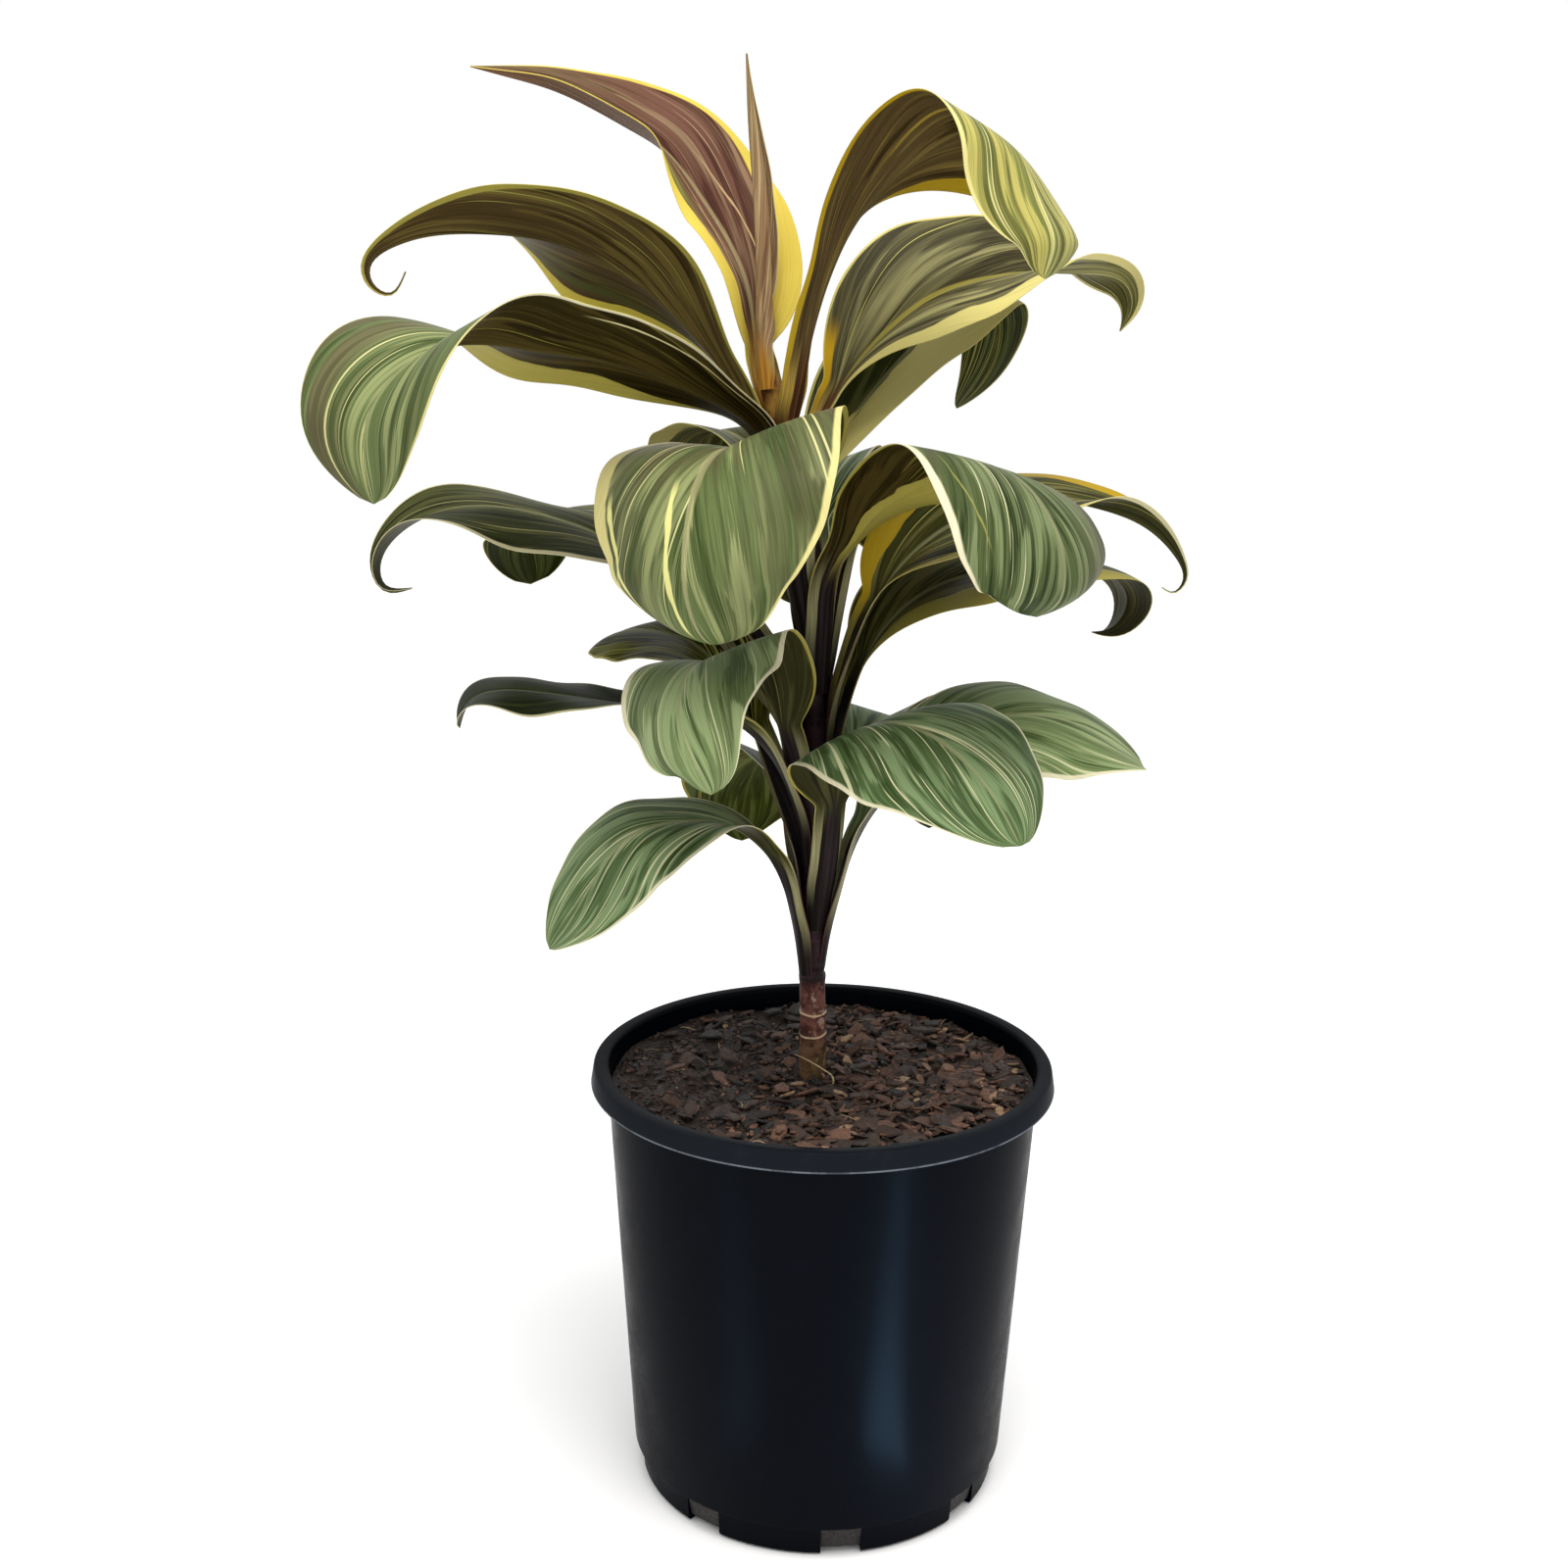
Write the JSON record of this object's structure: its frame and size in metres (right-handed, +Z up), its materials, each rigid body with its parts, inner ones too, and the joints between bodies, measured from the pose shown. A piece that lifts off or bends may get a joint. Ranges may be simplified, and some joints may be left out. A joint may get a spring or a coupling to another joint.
{
  "type": "potted ti plant",
  "caption": "Variegated ti plant with arching, curling leaves in stacked tiers on one bare-footed cane, in a round black nursery pot of bark mix.",
  "frame": {"origin": "centre of the pot's underside, on the plane it stands on", "axes": "+Z up along the pot's axis, -Y towards the pictured front, +X to the viewer's right"},
  "size_m": [0.3409, 0.2644, 0.5991],
  "materials": {
    "pot_plastic": "satin, lightly scratched",
    "bark_mix": "loose chips, matt",
    "stem_bark": "smooth, ringed with leaf scars",
    "leaf_green": "satin, striped cream and green",
    "leaf_bronze": "satin, bronze with yellow edges"
  },
  "bodies": {
    "root": {"pot": "pot_plastic", "potting_mix": "bark_mix", "stem": "stem_bark", "leaf_01": "leaf_green", "leaf_02": "leaf_green", "leaf_03": "leaf_green", "leaf_04": "leaf_green", "leaf_05": "leaf_green", "leaf_06": "leaf_green", "leaf_07": "leaf_green", "leaf_08": "leaf_green", "leaf_09": "leaf_green", "leaf_10": "leaf_green", "leaf_11": "leaf_green", "leaf_12": "leaf_green", "leaf_13": "leaf_green", "leaf_14": "leaf_green", "leaf_15": "leaf_green", "leaf_16": "leaf_green", "leaf_17": "leaf_green", "leaf_18": "leaf_bronze", "leaf_19": "leaf_bronze", "leaf_20": "leaf_bronze", "leaf_21": "leaf_bronze", "leaf_22": "leaf_bronze", "leaf_23": "leaf_bronze", "leaf_24": "leaf_bronze"}
  },
  "joints": []
}
